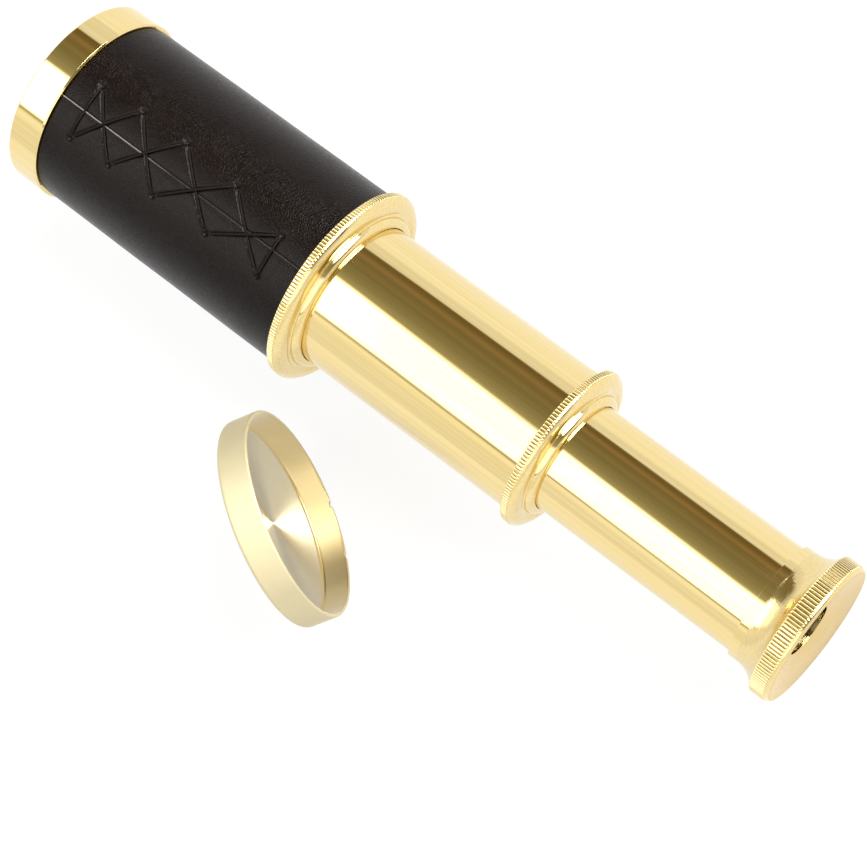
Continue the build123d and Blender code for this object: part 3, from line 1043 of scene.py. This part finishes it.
# The light round the axis: angle in degrees, and the radiance there, where one number is a grey.
LIGHT_STOPS = (
    (-180, PALE), (-75.5, PALE), (-73.0, (0.17, 0.12, 0.045)),
    (-66.0, (0.20, 0.145, 0.06)), (-59.0, (0.31, 0.22, 0.11)), (-51.0, (0.21, 0.175, 0.09)),
    (-41.0, (0.27, 0.22, 0.12)), (-35.0, (0.23, 0.205, 0.115)), (-18.0, (0.32, 0.29, 0.18)),
    (-7.0, (0.44, 0.41, 0.28)), (1.0, BRIGHT), (48.5, (BRIGHT, BRIGHT, 0.97 * BRIGHT)),
    (51.0, (0.50, 0.47, 0.36)), (53.0, (0.50, 0.47, 0.36)), (55.5, (1.25, 1.23, 1.15)),
    (66.0, (1.06, 1.05, 1.02)), (110.0, PALE), (180, PALE),
)
# What is added to the softbox's radiance as the direction's x goes from the first to the second
# number: the third number at the first, the fourth at the second.
SOFTBOX_STEPS = ((0.02, 0.14, -1.1, 0), (0.34, 0.42, 0, 2.4), (0.48, 0.58, 0, -3.5))
SECOND_SOFTBOX = Vector((-0.309, -0.696, 0.63)).normalized()


def studio_light():
    """World of a plain studio: a long white softbox overhead, a dark flag beside it, pale walls.

    The light depends on the angle round the optical axis, atan2(y, z), moved a little with the
    direction's x, because the flag and the softbox stand near and not quite square, and it fades
    to the pale walls towards both ends of the axis.  The softbox is brightest over the barrel.
    A second, smaller one stands on the -Y side, in front of the cap's mouth.
    """
    world = bpy.data.worlds.new("studio")
    bpy.context.scene.world = world
    world.use_nodes = True
    light = Nodes(world.node_tree)
    light.tree.nodes.clear()
    way = light.node("TexCoord").outputs["Generated"]
    x, y, z = light.node("SeparateXYZ", {0: way}).outputs
    turn = light.math("ARCTAN2", y, z)
    degrees = math.radians
    start = light.spread(x, 0.34, 0.48, degrees(-77), degrees(-67))
    end = light.spread(x, 0.185, 0.36, degrees(5), degrees(-10))
    flag = light.spread(turn, start, end, degrees(-77), degrees(-2))
    beyond = light.spread(turn, end, degrees(111), 0, degrees(113))
    share = light.spread(light.math("ADD", flag, beyond), -math.pi, math.pi)
    stops = []
    for place, radiance in LIGHT_STOPS:
        channels = np.broadcast_to(radiance, 3) / BRIGHT
        stops.append(((place + 180) / 360, (*channels, float(channels[0] == 1))))
    hue = light.ramp(share, stops)
    first, second, third = (light.spread(x, *step) for step in SOFTBOX_STEPS)
    extra = light.math("ADD", light.math("ADD", first, second), third)
    strength = light.math("MULTIPLY_ADD", extra, hue.node.outputs["Alpha"], BRIGHT)
    level = light.node("VectorMath", {0: hue, "Scale": strength}, operation="SCALE").outputs[0]
    ends = light.spread(light.math("ABSOLUTE", x), 0.78, 0.97, curve="SMOOTHSTEP")
    room = light.mix(ends, level, (PALE, PALE, PALE, 1))
    aimed = light.node("VectorMath", {0: way, 1: SECOND_SOFTBOX}, operation="DOT_PRODUCT")
    edge, full = math.cos(0.44), math.cos(0.35)
    within = light.spread(aimed.outputs["Value"], edge, full, curve="SMOOTHSTEP")
    beside = light.spread(x, 0.13, 0.03, curve="SMOOTHSTEP")
    lit = light.mix(light.math("MULTIPLY", within, beside), room, (15.0, 15.0, 15.0, 1))
    seen = light.node("LightPath").outputs["Is Camera Ray"]
    backdrop = light.mix(seen, lit, (1.02, 1.02, 1.02, 1))
    background = light.node("Background", {"Color": backdrop}).outputs[0]
    light.node("OutputWorld", {"Surface": background})


class TELESCOPE_OT_stage(bpy.types.Operator):
    """Pale floor, studio light and the camera."""

    bl_idname = "telescope.stage"
    bl_label = "Stage"

    def execute(self, context):
        settings = context.scene.telescope_stage
        context.scene.view_settings.view_transform = "Standard"
        studio_light()
        size, height = 1.6, CAD_BOX[0].z
        mesh = bpy.data.meshes.new("floor")
        corners = [(x * size, y * size, height) for x, y in ((-1, -1), (1, -1), (1, 1), (-1, 1))]
        mesh.from_pydata(corners, [], [(0, 1, 2, 3)])
        floor = bpy.data.objects.new("floor", mesh)
        context.scene.collection.objects.link(floor)
        paint = Paint("pale_floor")
        paint.feed(Base_Color=(0.12, 0.12, 0.12, 1), Roughness=1.0, Specular_IOR_Level=0.0,
                   Emission_Color=(1, 1, 1, 1), Emission_Strength=settings.floor_glow)
        mesh.materials.append(paint.material)
        data = bpy.data.cameras.new("camera")
        data.sensor_width, data.lens = 36.0, settings.lens
        data.clip_start, data.clip_end = 0.01, 10.0
        camera = bpy.data.objects.new("camera", data)
        context.scene.collection.objects.link(camera)
        a, e = settings.azimuth, settings.elevation
        back = Vector((math.cos(a) * math.cos(e), math.sin(a) * math.cos(e), math.sin(e)))
        right = Vector(settings.image_up).cross(back).normalized()
        turn = Matrix((right, back.cross(right), back)).transposed().to_4x4()
        stand = Vector(settings.target) + back * settings.distance
        camera.matrix_world = Matrix.Translation(stand) @ turn
        context.scene.camera = camera
        return {"FINISHED"}


class TELESCOPE_PT_panel(bpy.types.Panel):
    """Lists the telescope's builders and its sizes."""

    bl_idname = "TELESCOPE_PT_panel"
    bl_label = "Brass hand telescope"
    bl_space_type = "VIEW_3D"
    bl_region_type = "UI"
    bl_category = "Telescope"

    def draw(self, context):
        for operator in OPERATORS:
            self.layout.operator(operator.bl_idname)
        for name, group in SETTINGS.items():
            settings = getattr(context.scene, name)
            box = self.layout.box()
            box.label(text=group.__doc__)
            for prop in group.__annotations__:
                box.prop(settings, prop)


SETTINGS = {
    "telescope_tubes": TubeSizes,
    "telescope_knurls": KnurlSizes,
    "telescope_leather": LeatherSizes,
    "telescope_cap": CapSizes,
    "telescope_finishes": Finishes,
    "telescope_stage": StageSettings,
}
OPERATORS = (
    TELESCOPE_OT_stage,
    TELESCOPE_OT_bezel,
    TELESCOPE_OT_lenses,
    TELESCOPE_OT_barrel,
    TELESCOPE_OT_leather,
    TELESCOPE_OT_lacing,
    TELESCOPE_OT_collars,
    TELESCOPE_OT_draws,
    TELESCOPE_OT_eyepiece,
    TELESCOPE_OT_lens_cap,
    TELESCOPE_OT_inner_parts,
)


def register():
    """Registers the classes and hangs the settings on the scene."""
    for group in (*SETTINGS.values(), *OPERATORS, TELESCOPE_PT_panel):
        bpy.utils.register_class(group)
    for name, group in SETTINGS.items():
        setattr(bpy.types.Scene, name, PointerProperty(type=group))


def unregister():
    """Takes the settings and the classes away again."""
    for name in SETTINGS:
        delattr(bpy.types.Scene, name)
    for group in reversed((*SETTINGS.values(), *OPERATORS, TELESCOPE_PT_panel)):
        bpy.utils.unregister_class(group)


def main():
    """Builds every piece."""
    register()
    for operator in OPERATORS:
        section, name = operator.bl_idname.split(".")
        getattr(getattr(bpy.ops, section), name)()


if __name__ == "__main__":
    main()
